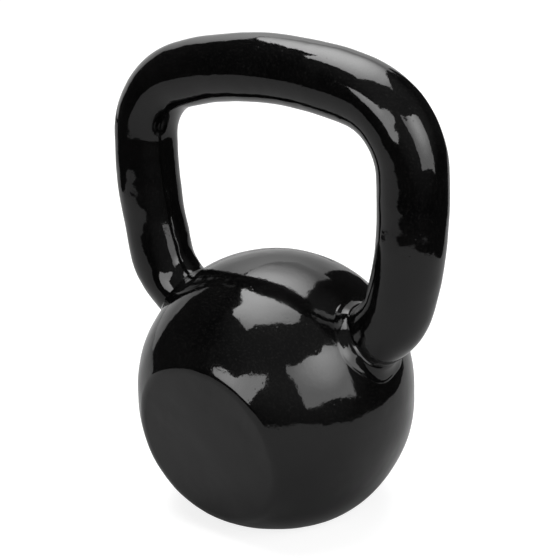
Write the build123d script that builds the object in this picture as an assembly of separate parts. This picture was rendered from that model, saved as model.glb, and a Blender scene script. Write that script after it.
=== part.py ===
from build123d import *
import os
from math import acos, atan2, cos, degrees, radians, sin, sqrt

# A 12 kg cast iron kettlebell with a welded steel handle, in millimetres.
# The foot rests on z = 0, the handle lies in the XZ plane and the front face looks towards -Y.

# ---- Driving dimensions: bell ----
ball_radius = 70.0
ball_band = 3.2             # height of the straight band round the equator
ball_centre_z = 61.0
foot_edge_radius = 30.0     # broad rounding between the flat foot and the sphere
face_distance = 57.6        # from the ball's centre to each flattened face
face_lean = 8.0             # degrees; the top of each face stands further out
face_edge_radius = 1.2

# ---- Driving dimensions: handle ----
bar_radius = 16.0
crown_height = 162.2        # bar centreline above the ball's centre, at the middle
crown_radius = 197.0
crown_turn = 15.0           # degrees, turned by half of the crown
shoulder_radius = 36.7
shoulder_turn = 72.0
side_radius = 206.0
side_turn = 17.2
horn_radius = 32.0          # the last bend, which aims each horn at the dome's centre
tenon_depth = 22.0          # how far each horn enters the ball
tenon_chamfer = 1.5
socket_clearance = 0.1

# ---- Driving dimensions: welds ----
weld_radius = 6.0
weld_toe = 0.3              # thickness of a weld ring at its thin edges
weld_gap = 0.05             # between a ring and the curved faces that it joins

# ---- Driving dimensions: foot pad, plug and trim cavity ----
pad_proud = 1.0             # how far the rubber foot stands out of the iron
pad_radius = 23.5
pad_thickness = 3.5
pad_edge_radius = 0.8
recess_clearance = 0.5
plug_radius = 20.0
plug_thickness = 12.0
plug_recess = 0.5           # the plug sits this far above the pad
plug_chamfer = 1.0
plug_clearance = 0.1
hex_across_flats = 14.0
hex_depth = 7.0
seal_thickness = 1.5
cavity_radius = 17.0
cavity_clearance = 0.4      # round the loose parts in the cavity
packing_length = 49.0
slug_length = 18.0
filling_chamfer = 1.0

# ---- Derived dimensions ----
foot_drop = ball_centre_z - pad_proud
dome_centre_z = ball_centre_z + ball_band / 2
plug_bottom_z = pad_thickness + plug_recess
plug_top_z = plug_bottom_z + plug_thickness
seal_top_z = plug_top_z + seal_thickness
packing_top_z = plug_top_z + packing_length
cavity_top_z = packing_top_z + slug_length


def upright_cylinder(radius, bottom_z, top_z):
    """Return a cylinder about the Z axis between two heights."""
    base = (Align.CENTER, Align.CENTER, Align.MIN)
    return Pos(0, 0, bottom_z) * Cylinder(radius, top_z - bottom_z, align=base)


# ---- Bell ----
def ball_blank():
    """Revolve the ball: two half spheres, a straight band, and a flat foot with a broad edge."""
    half_band = ball_band / 2
    edge_z = foot_edge_radius - foot_drop
    edge_x = sqrt((ball_radius - foot_edge_radius) ** 2 - (edge_z + half_band) ** 2)
    edge_turn = atan2(edge_x, -(edge_z + half_band))

    def on_edge(turn):
        return (edge_x + foot_edge_radius * sin(turn), edge_z - foot_edge_radius * cos(turn))

    bottom = (0, -foot_drop)
    top = (0, ball_radius + half_band)
    low_equator = (ball_radius, -half_band)
    high_equator = (ball_radius, half_band)
    outline = [
        Line(bottom, on_edge(0)),
        ThreePointArc(on_edge(0), on_edge(edge_turn / 2), on_edge(edge_turn)),
        RadiusArc(on_edge(edge_turn), low_equator, -ball_radius),
        Line(low_equator, high_equator),
        RadiusArc(high_equator, top, -ball_radius),
        Line(top, bottom),
    ]
    profile = Plane.XZ * make_face(outline)
    return Pos(0, 0, ball_centre_z) * revolve(profile, Axis.Z)


def flatten_faces(ball):
    """Cut the front and the back of the ball flat, and round the edges of the two discs."""
    lean = radians(face_lean)
    for side in (-1, 1):
        normal = Vector(0, side * cos(lean), -sin(lean))
        plane = Plane(Vector(0, 0, ball_centre_z) + normal * face_distance, z_dir=normal)
        ball -= plane * Cylinder(
            ball_radius, ball_radius, align=(Align.CENTER, Align.CENTER, Align.MIN)
        )
    discs = [face for face in ball.faces().filter_by(GeomType.PLANE) if face.center().Z > pad_thickness]
    return fillet([edge for disc in discs for edge in disc.edges()], face_edge_radius)


def bell_body(horn_axes):
    """Make the cast ball with its horn sockets, pad recess, plug hole and trim cavity."""
    body = flatten_faces(ball_blank())
    for axis_plane in horn_axes:
        socket = Cylinder(
            bar_radius + socket_clearance, ball_radius, align=(Align.CENTER, Align.CENTER, Align.MIN)
        )
        body -= axis_plane * Pos(0, 0, ball_radius - tenon_depth) * socket
    body -= upright_cylinder(pad_radius + recess_clearance, 0, pad_thickness)
    body -= upright_cylinder(plug_radius + plug_clearance, 0, seal_top_z)
    body -= upright_cylinder(cavity_radius, 0, cavity_top_z)
    return body


# ---- Handle ----
def clockwise_end(centre, radius, heading):
    """Return the point of a clockwise arc where it runs at a heading below +X, in radians."""
    return Vector(centre.X + radius * sin(heading), centre.Y + radius * cos(heading))


def handle_route():
    """Return one half of the bar's centreline, from the crown to the horn's end.

    It is drawn in a plane whose origin is the dome's centre, X outwards and Y up.
    """
    point = Vector(0, crown_height - ball_band / 2)
    heading = 0.0
    edges = []
    bends = (
        (crown_radius, crown_turn),
        (shoulder_radius, shoulder_turn),
        (side_radius, side_turn),
    )
    for radius, turn in bends:
        direction = Vector(cos(heading), -sin(heading))
        edges.append(JernArc(point, direction, radius, -turn))
        centre = point - Vector(sin(heading), cos(heading)) * radius
        heading += radians(turn)
        point = clockwise_end(centre, radius, heading)
    centre = point - Vector(sin(heading), cos(heading)) * horn_radius
    end_heading = atan2(centre.X, centre.Y) + acos(-horn_radius / centre.length)
    direction = Vector(cos(heading), -sin(heading))
    edges.append(JernArc(point, direction, horn_radius, -degrees(end_heading - heading)))
    point = clockwise_end(centre, horn_radius, end_heading)
    edges.append(Line(point, point.normalized() * (ball_radius - tenon_depth)))
    return edges


def handle_bar(route):
    """Sweep the round bar along both halves of the centreline and chamfer its two ends."""
    right = Wire(route)
    path = Plane.XZ * Wire([*right.edges(), *right.mirror(Plane.YZ).edges()])
    path = Pos(0, 0, dome_centre_z) * path
    section = Plane(path @ 0, z_dir=path % 0) * Circle(bar_radius)
    bar = sweep(section, path=path)
    ends = bar.faces().filter_by(GeomType.PLANE)
    return chamfer([edge for end in ends for edge in end.edges()], tenon_chamfer)


def horn_axis_planes(route):
    """Return a plane at the dome's centre for each horn, its normal along the horn's axis."""
    along = (route[-1] @ 0).normalized()
    dome_centre = Vector(0, 0, dome_centre_z)
    return [
        Plane(dome_centre, x_dir=(0, 1, 0), z_dir=(side * along.X, 0, along.Y)) for side in (-1, 1)
    ]


# ---- Welds ----
def weld_ring():
    """Revolve a concave ring about +Z that joins a bar on that axis to a ball about the origin."""
    bar_face = bar_radius + weld_gap
    ball_face = ball_radius + weld_gap
    centre_r = bar_radius + weld_toe + weld_radius
    centre_distance = ball_radius + weld_toe + weld_radius
    centre = Vector(centre_r, sqrt(centre_distance ** 2 - centre_r ** 2))
    towards_ball = -centre.normalized()
    towards_bar = Vector(-1, 0)
    bar_toe = centre + towards_bar * weld_radius
    ball_toe = centre + towards_ball * weld_radius
    hollow = centre + (towards_bar + towards_ball).normalized() * weld_radius
    bar_top = Vector(bar_face, centre.Y)
    bar_foot = Vector(bar_face, sqrt(ball_face ** 2 - bar_face ** 2))
    ball_edge = centre.normalized() * ball_face
    outline = [
        Line(bar_top, bar_toe),
        ThreePointArc(bar_toe, hollow, ball_toe),
        Line(ball_toe, ball_edge),
        RadiusArc(ball_edge, bar_foot, -ball_face),
        Line(bar_foot, bar_top),
    ]
    return revolve(Plane.XZ * make_face(outline), Axis.Z)


# ---- Foot pad, plug and trim parts ----
def base_pad():
    """Make the rubber foot disc, with a rounded lower edge."""
    pad = upright_cylinder(pad_radius, 0, pad_thickness)
    return fillet(pad.edges().group_by(Axis.Z)[0], pad_edge_radius)


def filler_plug():
    """Make the plug, chamfered at both ends, with a hex socket in its lower face."""
    plug = upright_cylinder(plug_radius, plug_bottom_z, plug_top_z)
    rims = plug.edges().filter_by(GeomType.CIRCLE)
    plug = chamfer(rims, plug_chamfer)
    hexagon = RegularPolygon(hex_across_flats / 2, 6, major_radius=False)
    return plug - Pos(0, 0, plug_bottom_z) * extrude(hexagon, hex_depth)


def seal_ring():
    """Make the flat ring between the plug and the shoulder of its hole."""
    return upright_cylinder(plug_radius, plug_top_z, seal_top_z) - upright_cylinder(
        cavity_radius, plug_top_z, seal_top_z
    )


def cavity_filling(bottom_z, top_z):
    """Make a chamfered cylinder that fills the trim cavity between two heights."""
    filling = upright_cylinder(cavity_radius - cavity_clearance, bottom_z, top_z)
    return chamfer(filling.edges().filter_by(GeomType.CIRCLE), filling_chamfer)


route = handle_route()
left_axis, right_axis = horn_axis_planes(route)
nodes = {
    "bell_body": bell_body((left_axis, right_axis)),
    "handle_bar": handle_bar(route),
    "left_horn_weld": left_axis * weld_ring(),
    "right_horn_weld": right_axis * weld_ring(),
    "base_pad": base_pad(),
    "filler_plug": filler_plug(),
    "seal_ring": seal_ring(),
    "packing_block": cavity_filling(plug_top_z, packing_top_z),
    "ballast_slug": cavity_filling(packing_top_z, cavity_top_z),
}

os.makedirs("parts", exist_ok=True)
for name, solid in nodes.items():
    export_step(solid, f"parts/{name}.step")
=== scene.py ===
import math

import bpy
import numpy as np
from mathutils import Matrix, Vector


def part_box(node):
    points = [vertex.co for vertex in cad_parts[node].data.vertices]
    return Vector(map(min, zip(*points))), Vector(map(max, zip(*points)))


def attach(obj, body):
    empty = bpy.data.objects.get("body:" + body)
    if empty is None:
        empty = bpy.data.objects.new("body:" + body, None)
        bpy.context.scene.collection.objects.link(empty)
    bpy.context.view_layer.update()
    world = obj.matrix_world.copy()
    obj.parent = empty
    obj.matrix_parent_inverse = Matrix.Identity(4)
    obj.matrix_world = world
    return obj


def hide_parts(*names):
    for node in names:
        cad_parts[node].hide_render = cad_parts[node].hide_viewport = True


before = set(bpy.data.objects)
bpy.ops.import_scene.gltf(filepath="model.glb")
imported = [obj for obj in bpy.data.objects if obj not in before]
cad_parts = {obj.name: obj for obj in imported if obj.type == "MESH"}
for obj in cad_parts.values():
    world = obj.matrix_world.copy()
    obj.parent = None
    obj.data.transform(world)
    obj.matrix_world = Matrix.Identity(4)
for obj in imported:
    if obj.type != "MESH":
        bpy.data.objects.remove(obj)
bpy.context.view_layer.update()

MM = 0.001
FULL_TURN = 2 * math.pi

# The kettlebell's ball, handle and welds are made here. Its foot pad, plug, seal, packing and
# ballast keep their CAD shapes and only get a finish.

# ---- Sizes, in metres ----
bell_low, bell_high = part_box("bell_body")
bar_low, bar_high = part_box("handle_bar")
BALL_RADIUS = 70.0 * MM
BALL_BAND = 3.2 * MM                 # height of the straight band round the equator
DOME_CENTRE = Vector((0, 0, bell_high.z - BALL_RADIUS))
BALL_CENTRE = DOME_CENTRE - Vector((0, 0, BALL_BAND / 2))
FOOT_DROP = BALL_CENTRE.z - bell_low.z
FOOT_EDGE = 30.0 * MM                # broad rounding between the foot and the sphere
FACE_DISTANCE = 57.6 * MM            # from the ball's centre to each flattened face
FACE_LEAN = math.radians(8.0)        # the faces look up a little
FACE_EDGE = 1.3 * MM                 # rounding of their rims

BAR_RADIUS = 16.0 * MM
CROWN_Z = bar_high.z - BAR_RADIUS    # centreline at the middle of the handle
BENDS = (                            # radius and turn of each bend of half the handle
    (197.0 * MM, math.radians(15.0)),
    (36.7 * MM, math.radians(72.0)),
    (206.0 * MM, math.radians(17.2)),
)
HORN_BEND = 32.0 * MM                # the last bend, which aims the horn at the dome's centre
TENON_DEPTH = 22.0 * MM              # how far each horn enters the ball
TENON_CHAMFER = 1.5 * MM
SOCKET_CLEARANCE = 0.1 * MM
HORN_END = BALL_RADIUS - TENON_DEPTH  # from the dome's centre to the horn's tip
CUT_MARGIN = 5 * MM                  # how far a cutter reaches past the skin it cuts

WAVY_FROM = CROWN_Z - 20 * MM        # below this the horns get more uneven
LEFT_EXTRA_WAVES = 1.1
RIGHT_EXTRA_WAVES = 0.35
WRINKLE_CENTRE = (81.6 * MM, -8.3 * MM, 211.4 * MM)
WRINKLE_ALONG = (0.6, 0.8, 0.0)      # it runs across the bar
WRINKLE_LENGTH = 3.2 * MM
WRINKLE_WIDTH = 0.9 * MM
WRINKLE_HEIGHT = 0.11 * MM
WRINKLE_CURVE = 25 * MM              # twice the radius of its upward curve
WRINKLE_GROOVE_SHARE = 0.8           # depth of its groove against its ridge
WRINKLE_SIDE = 12 * MM               # it keeps to the front of the bar

NECK_RADIUS = 13.0 * MM              # hollow of the weld between the ball and a horn
NECK_LUMPS = 0.9 * MM                # how far that radius wanders
NECK_CREASE = math.radians(38.0)     # angle of the crease where the weld meets the horn
NECK_OVERRUN = 0.08                  # the face runs this far past the crease, in radians
NECK_STEP = 0.13 * MM                # the weld's edge stands proud of the ball, here and there
NECK_STEP_SHARE = 0.14               # share of the face over which the edge rises
NECK_GROOVE = 0.8 * MM               # depth of the groove between the weld and the horn
NECK_GROOVE_SHARE = 0.3              # share of the face that the groove takes
NECK_BURY = 1.5 * MM                 # how far the ring goes on under the skins it joins

RECESS_CLEARANCE = 0.5 * MM          # round the foot pad in its recess
HOLE_CLEARANCE = 0.1 * MM            # round the plug in its hole
CAVITY_CLEARANCE = 0.4 * MM          # round the loose parts in the trim cavity

LOOK_AT = Vector((4.3 * MM, 0, BALL_CENTRE.z + 59.0 * MM))
CAMERA_DISTANCE = 0.575
CAMERA_AZIMUTH = math.radians(36.6)
CAMERA_ELEVATION = math.radians(19.2)
CAMERA_ROLL = math.radians(-1.7)
STUDIO_CENTRE = Vector((0, 0, 0.12))  # the glowing sheets are placed about this point
PAPER_GREY = 0.34                    # the floor's own tone
PAPER_GLOW = 0.8                     # added for the camera only
PAGE_GLOW = 1.08                     # the white page behind, for the camera only
ROOM_DARK = 0.02
ROOM_LIGHT = 0.17


# ---- Surface waviness ----
class Waves:
    """A smooth random field: sine waves of nearly one length, in seeded random directions."""

    def __init__(self, seed, length, height, count=28):
        rng = np.random.default_rng(seed)
        directions = rng.normal(size=(count, 3))
        directions /= np.linalg.norm(directions, axis=1, keepdims=True)
        lengths = length * rng.uniform(0.75, 1.35, size=(count, 1))
        self.wave_vectors = directions * FULL_TURN / lengths
        self.phases = rng.uniform(0, FULL_TURN, size=count)
        self.height = height * math.sqrt(2.0 / count)

    def at(self, points):
        """The field's height at each point."""
        angles = points @ self.wave_vectors.T + self.phases
        return self.height * np.sin(angles).sum(axis=1)


CASTING_WAVES = (
    Waves(seed=11, length=42 * MM, height=0.13 * MM),
    Waves(seed=12, length=17 * MM, height=0.036 * MM),
)
DRIPS = Waves(seed=13, length=6.5 * MM, height=0.012 * MM)
DRIP_PLACES = Waves(seed=14, length=38 * MM, height=0.6)
DRIP_SHARE = 0.7                     # how strong the drips are on average


def roughen(points, normals, gain=1.0):
    """Push surface points along their normals by the waviness of the casting and its enamel."""
    depth = sum(waves.at(points) for waves in CASTING_WAVES)
    patchy = np.clip(DRIP_SHARE + DRIP_PLACES.at(points), 0.1, 1.6)
    depth = gain * (depth + patchy * DRIPS.at(points))
    return points + normals * depth[:, None]


# ---- Mesh helpers ----
def ease(share):
    """A smooth step from 0 to 1."""
    share = np.clip(share, 0, 1)
    return share * share * (3 - 2 * share)


def unit(vectors):
    """The vectors at length 1."""
    return vectors / np.linalg.norm(vectors, axis=-1, keepdims=True)


def compass_direction(azimuth, elevation):
    """Unit vector towards a place seen from the object; azimuth 0 is -Y and 90 degrees is +X."""
    return Vector((
        math.sin(azimuth) * math.cos(elevation),
        -math.cos(azimuth) * math.cos(elevation),
        math.sin(elevation),
    ))


def around_axis(columns):
    """Evenly spaced angles of a full turn."""
    return np.arange(columns) * FULL_TURN / columns


def grid_faces(rows, columns):
    """Quads of a grid whose columns wrap round."""
    faces = []
    for row in range(rows - 1):
        for column in range(columns):
            after = (column + 1) % columns
            faces.append((
                row * columns + column,
                row * columns + after,
                (row + 1) * columns + after,
                (row + 1) * columns + column,
            ))
    return faces


def end_caps(rows, columns):
    """One face over each end of such a grid."""
    first = tuple(range(columns))[::-1]
    last = tuple(range((rows - 1) * columns, rows * columns))
    return [first, last]


def new_piece(name, points, faces, material):
    """Link a smooth-shaded mesh object made of these points and faces."""
    mesh = bpy.data.meshes.new(name)
    mesh.from_pydata([tuple(point) for point in points], [], faces)
    mesh.validate()
    mesh.polygons.foreach_set("use_smooth", [True] * len(mesh.polygons))
    mesh.materials.append(material)
    mesh.update()
    piece = bpy.data.objects.new(name, mesh)
    bpy.context.scene.collection.objects.link(piece)
    return piece


# ---- Ball ----
def round_meet(first, second, radius):
    """Intersection of two distance fields, with the edge rounded."""
    a = np.maximum(first + radius, 0)
    b = np.maximum(second + radius, 0)
    return np.minimum(np.maximum(first, second) + radius, 0) + np.sqrt(a * a + b * b) - radius


def ball_field(points):
    """Signed distance, near enough, to the ball's skin; points are about the ball's centre."""
    half_band = BALL_BAND / 2
    across = np.hypot(points[:, 0], points[:, 1])
    up = points[:, 2]
    sphere = np.hypot(across, up - np.clip(up, -half_band, half_band)) - BALL_RADIUS

    edge_z = FOOT_EDGE - FOOT_DROP
    edge_x = math.sqrt((BALL_RADIUS - FOOT_EDGE) ** 2 - (edge_z + half_band) ** 2)
    turn = np.arctan2(across - edge_x, edge_z - up)
    edge_turn = math.atan2(edge_x, -(edge_z + half_band))
    edge = np.hypot(across - edge_x, up - edge_z) - FOOT_EDGE
    body = np.where((turn > 0) & (turn < edge_turn) & (up < edge_z), edge, sphere)
    body = np.where((across <= edge_x) & (up < edge_z), -FOOT_DROP - up, body)

    face = (
        np.abs(points[:, 1]) * math.cos(FACE_LEAN)
        - up * math.sin(FACE_LEAN)
        - FACE_DISTANCE
    )
    return round_meet(body, face, FACE_EDGE)


def ball_skin_along(directions):
    """Points of the ball's skin on rays from its centre, found by halving."""
    halvings = 40
    near = np.full(len(directions), 0.5 * BALL_RADIUS)
    far = np.full(len(directions), 1.2 * BALL_RADIUS)
    for _ in range(halvings):
        middle = (near + far) / 2
        outside = ball_field(directions * middle[:, None]) > 0
        far = np.where(outside, middle, far)
        near = np.where(outside, near, middle)
    return directions * near[:, None]


def field_normals(field, points, step=0.02 * MM):
    """Unit gradients of a distance field."""
    columns = []
    for axis in np.eye(3) * step:
        columns.append(field(points + axis) - field(points - axis))
    return unit(np.stack(columns, axis=1))


def ball_ring_angles():
    """Angles from the front face's normal to the back's, close together at the faces' rims."""
    disc_rings = 44
    rim_rings = 36
    half_belt_rings = 72
    edge = math.acos(FACE_DISTANCE / BALL_RADIUS)
    rim_zone = math.radians(2.2)
    disc = np.linspace(0, edge - rim_zone, disc_rings)[1:]
    rim = np.linspace(edge - rim_zone, edge + rim_zone, rim_rings)[1:]
    half_belt = np.linspace(edge + rim_zone, math.pi / 2, half_belt_rings)[1:]
    half = np.concatenate([disc, rim, half_belt])
    return np.concatenate([half, math.pi - half[-2::-1]])


def ball_directions(angle, turn):
    """Rays from the ball's centre, on rings round the front and back faces' leaning normals."""
    blend_start = math.radians(50)
    lean = FACE_LEAN * (1 - 2 * ease((angle - blend_start) / (math.pi - 2 * blend_start)))
    side = -np.cos(angle)
    up = np.sin(angle) * np.sin(turn)
    return np.stack([
        np.sin(angle) * np.cos(turn),
        side * np.cos(lean) - up * np.sin(lean),
        side * np.sin(lean) + up * np.cos(lean),
    ], axis=1)


def make_ball(material):
    """The ball's skin: rings of quads, closed at the middle of each flattened face."""
    columns = 400
    angles = ball_ring_angles()
    rows = len(angles)
    grids = np.meshgrid(angles, around_axis(columns), indexing="ij")
    angle, turn = (grid.ravel() for grid in grids)
    directions = ball_directions(np.append(angle, [0, math.pi]), np.append(turn, [0, 0]))
    points = ball_skin_along(directions)
    normals = field_normals(ball_field, points)
    points = roughen(points + np.array(BALL_CENTRE), normals)
    faces = grid_faces(rows, columns)
    front = rows * columns
    back = front + 1
    last = (rows - 1) * columns
    for column in range(columns):
        after = (column + 1) % columns
        faces.append((front, after, column))
        faces.append((back, last + column, last + after))
    return new_piece("ball", points, faces, material)


def lathe(name, frame_matrix, outline, material):
    """A closed solid of revolution; its outline is (radius, height) from the bottom up."""
    columns = 160
    around = around_axis(columns)
    rings = [
        np.stack([radius * np.cos(around), radius * np.sin(around), np.full(columns, height)], axis=1)
        for radius, height in outline
    ]
    faces = grid_faces(len(outline), columns) + end_caps(len(outline), columns)
    cutter = new_piece(name, np.concatenate(rings), faces, material)
    cutter.data.transform(frame_matrix)
    return cutter


def cut_away(piece, cutters):
    """Subtract solids from a piece; the new faces keep the cutters' material."""
    for cutter in cutters:
        modifier = piece.modifiers.new("cut", "BOOLEAN")
        modifier.operation = "DIFFERENCE"
        modifier.solver = "EXACT"
        modifier.material_mode = "TRANSFER"
        modifier.object = cutter
    evaluated = piece.evaluated_get(bpy.context.evaluated_depsgraph_get())
    mesh = bpy.data.meshes.new_from_object(evaluated)
    piece.modifiers.clear()
    piece.data = mesh
    for cutter in cutters:
        bpy.data.objects.remove(cutter)


def base_cutter(material):
    """What the foot pad, the plug, its seal and the trim cavity take out of the ball."""
    pad_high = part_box("base_pad")[1]
    plug_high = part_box("filler_plug")[1]
    seal_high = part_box("seal_ring")[1]
    slug_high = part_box("ballast_slug")[1]
    recess_radius = pad_high.x + RECESS_CLEARANCE
    hole_radius = plug_high.x + HOLE_CLEARANCE
    cavity_radius = slug_high.x + CAVITY_CLEARANCE
    return lathe("base_cut", Matrix.Identity(4), (
        (recess_radius, bell_low.z - CUT_MARGIN),
        (recess_radius, pad_high.z),
        (hole_radius, pad_high.z),
        (hole_radius, seal_high.z),
        (cavity_radius, seal_high.z),
        (cavity_radius, slug_high.z),
    ), material)


def socket_cutter(side, material):
    """The socket that one horn's tenon sits in."""
    turn = Vector(horn_axis(side)).to_track_quat("Z", "Y").to_matrix().to_4x4()
    radius = BAR_RADIUS + SOCKET_CLEARANCE
    outline = ((radius, HORN_END), (radius, BALL_RADIUS + CUT_MARGIN))
    return lathe("socket_cut", Matrix.Translation(DOME_CENTRE) @ turn, outline, material)


def hollow_out(ball, material):
    """Cut the opening in the foot and the two horn sockets."""
    cut_away(ball, [base_cutter(material), socket_cutter(-1, material), socket_cutter(1, material)])


# ---- Handle ----
def half_route():
    """Arcs (centre, radius, start heading, end heading) of half the handle, then the horn's tip.

    It is drawn about the dome's centre, X outwards and Z up. A heading turns down from +X.
    """
    point = np.array([0.0, CROWN_Z - DOME_CENTRE.z])
    heading = 0.0
    arcs = []
    for radius, turn in BENDS:
        centre = point - radius * np.array([math.sin(heading), math.cos(heading)])
        arcs.append((centre, radius, heading, heading + turn))
        heading += turn
        point = centre + radius * np.array([math.sin(heading), math.cos(heading)])
    centre = point - HORN_BEND * np.array([math.sin(heading), math.cos(heading)])
    aim = math.atan2(centre[0], centre[1]) + math.acos(-HORN_BEND / np.hypot(*centre))
    arcs.append((centre, HORN_BEND, heading, aim))
    return arcs


def arc_points(centre, radius, start, end, spacing):
    """Evenly spaced points of an arc, without its start."""
    count = max(2, round(radius * (end - start) / spacing))
    headings = np.linspace(start, end, count + 1)[1:]
    return centre + radius * np.stack([np.sin(headings), np.cos(headings)], axis=1)


def route_points(spacing):
    """Centreline of the whole handle, from the left horn's tip to the right one's, in (x, z)."""
    arcs = half_route()
    first = arcs[0][0] + np.array([0, arcs[0][1]])
    half = [first[None]]
    for arc in arcs:
        half.append(arc_points(*arc, spacing))
    horn_start = half[-1][-1]
    reach = np.hypot(*horn_start)
    steps = max(2, round((reach - HORN_END) / spacing))
    lengths = np.linspace(reach, HORN_END, steps + 1)[1:]
    half.append(horn_start / reach * lengths[:, None])
    right = np.concatenate(half)
    left = right[:0:-1] * np.array([-1, 1])
    return np.concatenate([left, right])


def horn_axis(side):
    """Unit direction from the dome's centre along the left (-1) or right (1) horn."""
    tip = route_points(1.0 * MM)[-1]
    return np.array([side * tip[0], 0, tip[1]]) / np.hypot(*tip)


def horn_unevenness(points):
    """The horns are more uneven towards the ball, where they were dressed after welding."""
    nearness = ease((WAVY_FROM - points[:, 2]) / (WAVY_FROM - bell_high.z))
    return 1 + np.where(points[:, 0] < 0, LEFT_EXTRA_WAVES, RIGHT_EXTRA_WAVES) * nearness


def coating_wrinkle(points):
    """Height of a small sag of enamel on the right shoulder: a short ridge below a groove."""
    offset = points - np.array(WRINKLE_CENTRE)
    along = offset @ np.array(WRINKLE_ALONG)
    up = offset[:, 2] - along * along / WRINKLE_CURVE
    near_side = np.abs(offset[:, 1]) < WRINKLE_SIDE
    fade = np.exp(-(along / WRINKLE_LENGTH) ** 2) * near_side
    ridge = np.exp(-((up + WRINKLE_WIDTH) / WRINKLE_WIDTH) ** 2)
    groove = np.exp(-((up - WRINKLE_WIDTH) / WRINKLE_WIDTH) ** 2)
    return WRINKLE_HEIGHT * fade * (ridge - WRINKLE_GROOVE_SHARE * groove)


def make_handle(material):
    """Sweep the round bar along its centreline and close both ends."""
    columns = 168
    spacing = 0.75 * MM
    line = route_points(spacing)
    along = unit(np.gradient(line, axis=0))
    outward = np.stack([-along[:, 1], along[:, 0]], axis=1)
    around = around_axis(columns)
    rows = len(line)
    normals = np.zeros((rows, columns, 3))
    normals[:, :, 0] = outward[:, None, 0] * np.cos(around)
    normals[:, :, 1] = np.sin(around)
    normals[:, :, 2] = outward[:, None, 1] * np.cos(around)
    centres = np.zeros((rows, 1, 3))
    centres[:, 0, 0] = line[:, 0]
    centres[:, 0, 2] = line[:, 1] + DOME_CENTRE.z
    past_chamfer = np.minimum(np.arange(rows), np.arange(rows)[::-1]) * spacing
    radii = BAR_RADIUS - np.maximum(TENON_CHAMFER - past_chamfer, 0)
    points = (centres + radii[:, None, None] * normals).reshape(-1, 3)
    normals = normals.reshape(-1, 3)
    points = roughen(points, normals, horn_unevenness(points))
    points = points + normals * coating_wrinkle(points)[:, None]
    faces = grid_faces(rows, columns) + end_caps(rows, columns)
    return new_piece("handle", points, faces, material)


# ---- Welds ----
def weld_ring(axis, spoke, hollow, step, rows):
    """One section of a weld: its hollow face from the toe to the crease, then its buried sides."""
    shares = np.linspace(0, 1, rows)[:, None]
    out = BAR_RADIUS + hollow * math.cos(NECK_CREASE)
    up = math.sqrt((BALL_RADIUS + hollow) ** 2 - out ** 2)
    toe = math.atan2(-up, -out)
    crease = NECK_CREASE - math.pi - NECK_OVERRUN
    turns = toe + (crease - toe) * shares
    normals = -(np.cos(turns) * spoke + np.sin(turns) * axis)
    centre = spoke * out + axis * up + np.array(DOME_CENTRE)
    rise = step * ease(shares / NECK_STEP_SHARE)
    groove = NECK_GROOVE * ease((shares - (1 - NECK_GROOVE_SHARE)) / NECK_GROOVE_SHARE)
    face = roughen(centre - (hollow - (rise - groove)) * normals, normals)
    inner_top = face[-1] - spoke * NECK_BURY
    inner_foot = centre + spoke * (BAR_RADIUS - NECK_BURY - out) - axis * (hollow + NECK_BURY)
    under_toe = face[0] - normals[0] * NECK_BURY
    return np.concatenate([face, [inner_top, inner_foot, under_toe]])


def make_weld(name, side, material):
    """A closed ring with a hollow face, tangent to the ball's skin and creased at the horn."""
    axis = horn_axis(side)
    across = np.array([0.0, 1.0, 0.0])
    third = np.cross(axis, across)
    columns, rows = 220, 44
    lumps = Waves(seed=31 + side, length=13 * MM, height=NECK_LUMPS)
    steps = Waves(seed=41 + side, length=11 * MM, height=NECK_STEP)
    rings = []
    for turn in around_axis(columns):
        spoke = math.cos(turn) * across + math.sin(turn) * third
        horn_foot = (axis * BALL_RADIUS + spoke * BAR_RADIUS)[None]
        hollow = NECK_RADIUS + lumps.at(horn_foot)[0]
        step = max(0, NECK_STEP + steps.at(horn_foot)[0])
        rings.append(weld_ring(axis, spoke, hollow, step, rows))
    points = np.stack(rings, axis=1).reshape(-1, 3)
    rows_round = rows + 3
    count = columns * rows_round
    grid = grid_faces(rows_round + 1, columns)
    faces = [tuple(index % count for index in face) for face in grid]
    return new_piece(name, points, faces, material)


# ---- Materials ----
def empty_material(name):
    """A material with no nodes yet, its nodes and its links."""
    material = bpy.data.materials.new(name)
    material.use_nodes = True
    nodes = material.node_tree.nodes
    nodes.clear()
    return material, nodes, material.node_tree.links


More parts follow.
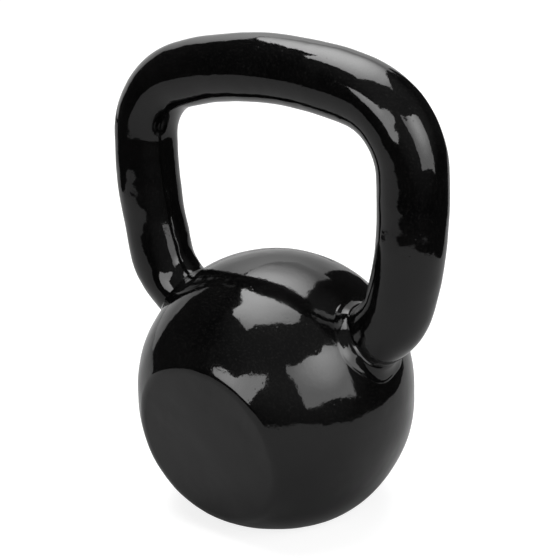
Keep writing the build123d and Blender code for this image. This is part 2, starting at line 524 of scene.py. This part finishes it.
class Finish:
    """A material round one Principled shader, with short calls for the nodes that feed it."""

    def __init__(self, name, **sockets):
        self.material = bpy.data.materials.new(name)
        self.material.use_nodes = True
        self.tree = self.material.node_tree
        self.shader = self.tree.nodes["Principled BSDF"]
        for socket, value in sockets.items():
            self.shader.inputs[socket.replace("_", " ")].default_value = value
        self.place = self.node("ShaderNodeTexCoord").outputs["Object"]
        self.normal = None

    def node(self, kind, inputs=(), **settings):
        """A node of this kind; each input is a value or another node's output."""
        node = self.tree.nodes.new(kind)
        for setting, value in settings.items():
            setattr(node, setting, value)
        for socket, value in dict(inputs).items():
            if isinstance(value, bpy.types.NodeSocket):
                self.tree.links.new(value, node.inputs[socket])
            else:
                node.inputs[socket].default_value = value
        return node

    def noise(self, size, detail=2.0, place=None):
        """Cloudy noise whose lumps are about this size, from 0 to 1."""
        inputs = {"Vector": place or self.place, "Scale": 1 / size, "Detail": detail}
        return self.node("ShaderNodeTexNoise", inputs).outputs["Fac"]

    def dots(self, spacing, radius):
        """Small round dots, 1 at their centres and 0 outside."""
        inputs = {"Vector": self.place, "Scale": 1 / spacing}
        cells = self.node("ShaderNodeTexVoronoi", inputs).outputs["Distance"]
        return self.spread(cells, 0, radius / spacing, 1, 0)

    def spread(self, value, from_low, from_high, to_low, to_high):
        """Map one range of values onto another, without going past its ends."""
        inputs = {
            "Value": value, "From Min": from_low, "From Max": from_high,
            "To Min": to_low, "To Max": to_high,
        }
        return self.node("ShaderNodeMapRange", inputs).outputs["Result"]

    def maths(self, operation, first, second=0.0):
        """One step of arithmetic on values."""
        return self.node("ShaderNodeMath", {0: first, 1: second}, operation=operation).outputs[0]

    def colours(self, value, *stops):
        """Blend (position, colour) stops by a value."""
        ramp = self.node("ShaderNodeValToRGB", {"Fac": value})
        elements = ramp.color_ramp.elements
        while len(elements) < len(stops):
            elements.new(0.5)
        for element, (position, colour) in zip(elements, stops):
            element.position = position
            element.color = (*colour, 1)
        return ramp.outputs["Color"]

    def bump(self, height, depth):
        """Add relief of this depth, in metres."""
        inputs = {"Height": height, "Distance": depth}
        if self.normal:
            inputs["Normal"] = self.normal
        self.normal = self.node("ShaderNodeBump", inputs).outputs["Normal"]

    def axis_radius(self):
        """Distance from the object's Z axis, and the place split into X, Y and Z."""
        parts = self.node("ShaderNodeSeparateXYZ", {"Vector": self.place}).outputs
        x_squared = self.maths("MULTIPLY", parts["X"], parts["X"])
        y_squared = self.maths("MULTIPLY", parts["Y"], parts["Y"])
        return self.maths("SQRT", self.maths("ADD", x_squared, y_squared)), parts

    def ripples(self, travel, pitch):
        """A sine of this pitch along a length."""
        return self.maths("SINE", self.maths("MULTIPLY", travel, FULL_TURN / pitch))

    def finish(self, colour, roughness):
        """Plug in the colour, the roughness and the relief."""
        links = self.tree.links
        links.new(colour, self.shader.inputs["Base Color"])
        links.new(roughness, self.shader.inputs["Roughness"])
        links.new(self.normal, self.shader.inputs["Normal"])
        return self.material


def enamel():
    """Gloss black enamel: orange peel, small pits, and patches that shine less."""
    darkest = (0.0006, 0.0006, 0.0007)
    palest = (0.007, 0.0068, 0.0066)
    coat = Finish("black_enamel", IOR=1.45)
    patches = coat.noise(22 * MM, detail=3)
    coat.bump(coat.noise(5 * MM, detail=1), 0.035 * MM)
    coat.bump(coat.noise(1.7 * MM), 0.02 * MM)
    pitted = coat.maths("GREATER_THAN", coat.noise(16 * MM), 0.5)
    pits = coat.maths("MULTIPLY", coat.dots(2.4 * MM, 0.42 * MM), pitted)
    coat.bump(coat.maths("MULTIPLY", pits, -1.0), 0.02 * MM)
    specks = coat.spread(coat.noise(0.9 * MM, detail=3), 0.52, 0.72, 0, 0.5)
    tone = coat.maths("ADD", coat.maths("MULTIPLY", patches, 0.5), specks)
    colour = coat.colours(tone, (0.15, darkest), (0.8, palest))
    roughness = coat.spread(patches, 0.3, 0.7, 0.045, 0.085)
    dull = coat.maths("MULTIPLY", pits, 0.15)
    return coat.finish(colour, coat.maths("ADD", roughness, dull))


def raw_iron():
    """Bare grey iron inside the casting: sandy skin with a little rust."""
    iron = Finish("raw_iron", Metallic=0.7)
    iron.bump(iron.noise(1.1 * MM, detail=5), 0.12 * MM)
    rust = iron.noise(8 * MM, detail=6)
    colour = iron.colours(
        rust, (0.4, (0.09, 0.09, 0.092)), (0.6, (0.12, 0.1, 0.085)), (0.75, (0.17, 0.08, 0.04)),
    )
    return iron.finish(colour, iron.spread(rust, 0.3, 0.7, 0.5, 0.85))


def moulded_rubber(name):
    """Matt black rubber with fine grain, moulding rings and a little dust."""
    rubber = Finish(name, IOR=1.5)
    radius, _ = rubber.axis_radius()
    rubber.bump(rubber.ripples(radius, 2.6 * MM), 0.12 * MM)
    rubber.bump(rubber.noise(0.5 * MM), 0.05 * MM)
    dust = rubber.noise(7 * MM, detail=5)
    colour = rubber.colours(dust, (0.35, (0.011, 0.011, 0.011)), (0.75, (0.045, 0.043, 0.04)))
    return rubber.finish(colour, rubber.spread(dust, 0.3, 0.7, 0.62, 0.85))


def turned_steel(name):
    """Bare steel with turning marks, an oily film and spots of tarnish."""
    steel = Finish(name, Metallic=1.0)
    radius, parts = steel.axis_radius()
    travel = steel.maths("ADD", radius, parts["Z"])
    steel.bump(steel.ripples(travel, 0.45 * MM), 0.012 * MM)
    steel.bump(steel.noise(3 * MM, detail=4), 0.02 * MM)
    tarnish = steel.noise(6 * MM, detail=6)
    colour = steel.colours(
        tarnish, (0.35, (0.5, 0.49, 0.47)), (0.6, (0.38, 0.36, 0.33)), (0.75, (0.16, 0.12, 0.09)),
    )
    return steel.finish(colour, steel.spread(tarnish, 0.35, 0.7, 0.26, 0.55))


def sawn_wood(name):
    """Pale wood with growth rings across it and streaks along Z."""
    wood = Finish(name)
    stretch = wood.node("ShaderNodeMapping", {"Vector": wood.place, "Scale": (1, 1, 0.08)})
    grain = stretch.outputs["Vector"]
    bend = wood.noise(12 * MM, place=grain)
    parts = wood.node("ShaderNodeSeparateXYZ", {"Vector": grain})
    across = wood.maths("ADD", parts.outputs["X"], wood.maths("MULTIPLY", bend, 5 * MM))
    rings = wood.ripples(across, 2.2 * MM)
    streaks = wood.noise(0.7 * MM, detail=4, place=grain)
    tone = wood.maths("ADD", wood.maths("MULTIPLY", rings, 0.18), streaks)
    colour = wood.colours(tone, (0.25, (0.36, 0.22, 0.11)), (0.75, (0.62, 0.44, 0.26)))
    wood.bump(streaks, 0.08 * MM)
    return wood.finish(colour, wood.spread(streaks, 0.2, 0.8, 0.6, 0.8))


# ---- Pieces ----
SHARP_ANGLE = math.radians(60)
black = enamel()
ball = make_ball(black)
hollow_out(ball, raw_iron())
handle = make_handle(black)
welds = {
    "left_horn_weld": make_weld("left_weld", -1, black),
    "right_horn_weld": make_weld("right_weld", 1, black),
}
for piece in (ball, handle, *welds.values()):
    piece.data.set_sharp_from_angle(angle=SHARP_ANGLE)
    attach(piece, "root")
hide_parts("bell_body")
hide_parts("handle_bar")
for node, piece in welds.items():
    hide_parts(node)
INNER_FINISHES = {
    "base_pad": moulded_rubber("pad_rubber"),
    "seal_ring": moulded_rubber("seal_rubber"),
    "filler_plug": turned_steel("plug_steel"),
    "ballast_slug": turned_steel("slug_steel"),
    "packing_block": sawn_wood("packing_wood"),
}
for node, material in INNER_FINISHES.items():
    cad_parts[node].data.materials.clear()
    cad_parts[node].data.materials.append(material)


# ---- Floor, camera and light ----
def make_camera():
    """A camera on the object's front right, a little above it."""
    back = compass_direction(CAMERA_AZIMUTH, CAMERA_ELEVATION)
    camera = bpy.data.objects.new("camera", bpy.data.cameras.new("camera"))
    camera.data.lens = 75.5
    camera.data.sensor_width = 36.0
    turn = back.to_track_quat("Z", "Y").to_matrix().to_4x4() @ Matrix.Rotation(CAMERA_ROLL, 4, "Z")
    camera.matrix_world = Matrix.Translation(LOOK_AT + back * CAMERA_DISTANCE) @ turn
    bpy.context.scene.collection.objects.link(camera)
    bpy.context.scene.camera = camera


def flat_sheet(name, points, material):
    """A staged polygon."""
    mesh = bpy.data.meshes.new(name)
    mesh.from_pydata(points, [], [tuple(range(len(points)))])
    mesh.materials.append(material)
    sheet = bpy.data.objects.new(name, mesh)
    bpy.context.scene.collection.objects.link(sheet)
    return sheet


def fading_glow(name, hot_spot, reach, peak, edge):
    """Light that is strongest at one point and fades to an even level at its reach."""
    material, nodes, links = empty_material(name)
    place = nodes.new("ShaderNodeNewGeometry")
    away = nodes.new("ShaderNodeVectorMath")
    away.operation = "DISTANCE"
    away.inputs[1].default_value = hot_spot
    links.new(place.outputs["Position"], away.inputs[0])
    fade = nodes.new("ShaderNodeMapRange")
    fade.interpolation_type = "SMOOTHSTEP"
    fade.inputs["From Max"].default_value = reach
    fade.inputs["To Min"].default_value = peak
    fade.inputs["To Max"].default_value = edge
    links.new(away.outputs["Value"], fade.inputs["Value"])
    emission = nodes.new("ShaderNodeEmission")
    links.new(fade.outputs["Result"], emission.inputs["Strength"])
    output = nodes.new("ShaderNodeOutputMaterial")
    links.new(emission.outputs[0], output.inputs["Surface"])
    return material


def softbox(name, azimuth, elevation, distance, corners, hot_spot, reach, peak, edge):
    """A glowing sheet that faces the object; its places are in shares of its distance."""
    turn = math.radians(azimuth)
    outward = compass_direction(turn, math.radians(elevation))
    right = Vector((math.cos(turn), math.sin(turn), 0))
    up = outward.cross(right)
    middle = STUDIO_CENTRE + outward * distance

    def place(x, y):
        return middle + (right * x + up * y) * distance

    light = fading_glow(name, place(*hot_spot), reach * distance, peak, edge)
    sheet = flat_sheet(name, [place(*corner) for corner in corners], light)
    sheet.visible_camera = False


def floor_material():
    """White paper; the camera sees it close to overexposed, so its shadow is faint."""
    material, nodes, links = empty_material("floor")
    paper = nodes.new("ShaderNodeBsdfDiffuse")
    paper.inputs["Color"].default_value = (PAPER_GREY, PAPER_GREY, PAPER_GREY, 1)
    bright = nodes.new("ShaderNodeEmission")
    path = nodes.new("ShaderNodeLightPath")
    lift = nodes.new("ShaderNodeMath")
    lift.operation = "MULTIPLY"
    lift.inputs[1].default_value = PAPER_GLOW
    links.new(path.outputs["Is Camera Ray"], lift.inputs[0])
    links.new(lift.outputs[0], bright.inputs["Strength"])
    total = nodes.new("ShaderNodeAddShader")
    links.new(paper.outputs[0], total.inputs[0])
    links.new(bright.outputs[0], total.inputs[1])
    output = nodes.new("ShaderNodeOutputMaterial")
    links.new(total.outputs[0], output.inputs["Surface"])
    return material


def make_world():
    """A dark room, a little lighter to the front and right, behind a white page."""
    world = bpy.data.worlds.new("studio")
    bpy.context.scene.world = world
    world.use_nodes = True
    nodes = world.node_tree.nodes
    links = world.node_tree.links
    toward = nodes.new("ShaderNodeVectorMath")
    toward.operation = "DOT_PRODUCT"
    toward.inputs[1].default_value = compass_direction(math.radians(60), math.radians(50))
    direction = nodes.new("ShaderNodeTexCoord")
    links.new(direction.outputs["Generated"], toward.inputs[0])
    level = nodes.new("ShaderNodeMapRange")
    level.inputs["From Min"].default_value = 0.35
    level.inputs["From Max"].default_value = 0.8
    level.inputs["To Min"].default_value = ROOM_DARK
    level.inputs["To Max"].default_value = ROOM_LIGHT
    links.new(toward.outputs["Value"], level.inputs["Value"])
    room = nodes["Background"]
    room.inputs["Color"].default_value = (1, 1, 1, 1)
    links.new(level.outputs["Result"], room.inputs["Strength"])
    page = nodes.new("ShaderNodeBackground")
    page.inputs["Color"].default_value = (1, 1, 1, 1)
    page.inputs["Strength"].default_value = PAGE_GLOW
    path = nodes.new("ShaderNodeLightPath")
    mix = nodes.new("ShaderNodeMixShader")
    links.new(path.outputs["Is Camera Ray"], mix.inputs["Fac"])
    links.new(room.outputs[0], mix.inputs[1])
    links.new(page.outputs[0], mix.inputs[2])
    links.new(mix.outputs[0], nodes["World Output"].inputs["Surface"])


# The enamel mirrors the outlines of the floor and the lights, which are as uneven as its reflections.
FLOOR_OUTLINE = (
    (0.4, 0.1, 0), (0.43, -0.12, 0), (0.35, -0.33, 0), (0.16, -0.48, 0), (-0.2, -0.7, 0),
    (-0.5, -0.65, 0), (-0.58, -0.3, 0), (-0.62, -0.13, 0), (-1.6, -0.1, 0), (-1.6, 0.5, 0),
    (-1.55, 1.35, 0), (-0.85, 1.95, 0), (0.4, 1.6, 0), (0.22, 0.6, 0), (0.25, 0.28, 0),
)
make_camera()
make_world()
flat_sheet("floor", FLOOR_OUTLINE, floor_material())
softbox(
    "overhead", 0, 90, 1.8,
    (
        (-0.45, -0.33), (-0.28, -0.4), (-0.12, -0.57), (0.1, -0.33), (0.45, -0.02), (0.15, 0.42),
        (-0.03, 0.95), (-0.1, 1.5), (-0.9, 1.4), (-0.95, 1.1), (-0.78, 0.75), (-0.74, 0.5),
        (-0.68, 0.35), (-0.5, 0.03), (-0.4, -0.08), (-0.49, -0.2),
    ),
    hot_spot=(-0.25, 0.05), reach=1.08, peak=8.6, edge=1.0,
)
softbox(
    "right_box", 82, 22, 1.2,
    (
        (-0.36, -0.38), (-0.42, 0.05), (-0.54, 0.28), (-0.5, 0.4), (-0.36, 0.31), (-0.18, 0.34),
        (-0.02, 0.28), (0.14, 0.41), (0.34, 0.32), (0.33, -0.1), (0.42, -0.46), (0.24, -0.38),
        (0.0, -0.34),
    ),
    hot_spot=(0.0, 0.24), reach=0.5, peak=6.8, edge=2.7,
)
softbox(
    "left_box", 0, 20, 2.4,
    (
        (-0.37, 0.16), (-0.2, 0.13), (0.02, 0.1), (0.15, 0.2), (0.43, 0.27), (0.41, 0.12),
        (0.3, -0.05), (0.2, -0.25), (-0.05, -0.28), (-0.25, -0.2), (-0.33, -0.02),
    ),
    hot_spot=(-0.1, 0.1), reach=0.3, peak=6.0, edge=4.5,
)
softbox(
    "backdrop", -140, 22, 1.9,
    (
        (-0.42, -0.45), (1.2, -0.52), (1.1, -0.3), (0.78, 0.1), (0.6, 0.35), (0.36, 0.62),
        (0.23, 0.5), (0.08, 0.38), (0.0, 0.3), (-0.25, 0.25), (-0.5, 0.3),
    ),
    hot_spot=(0.0, 0.85), reach=0.95, peak=3.2, edge=0.75,
)
bpy.context.scene.view_settings.view_transform = "Standard"
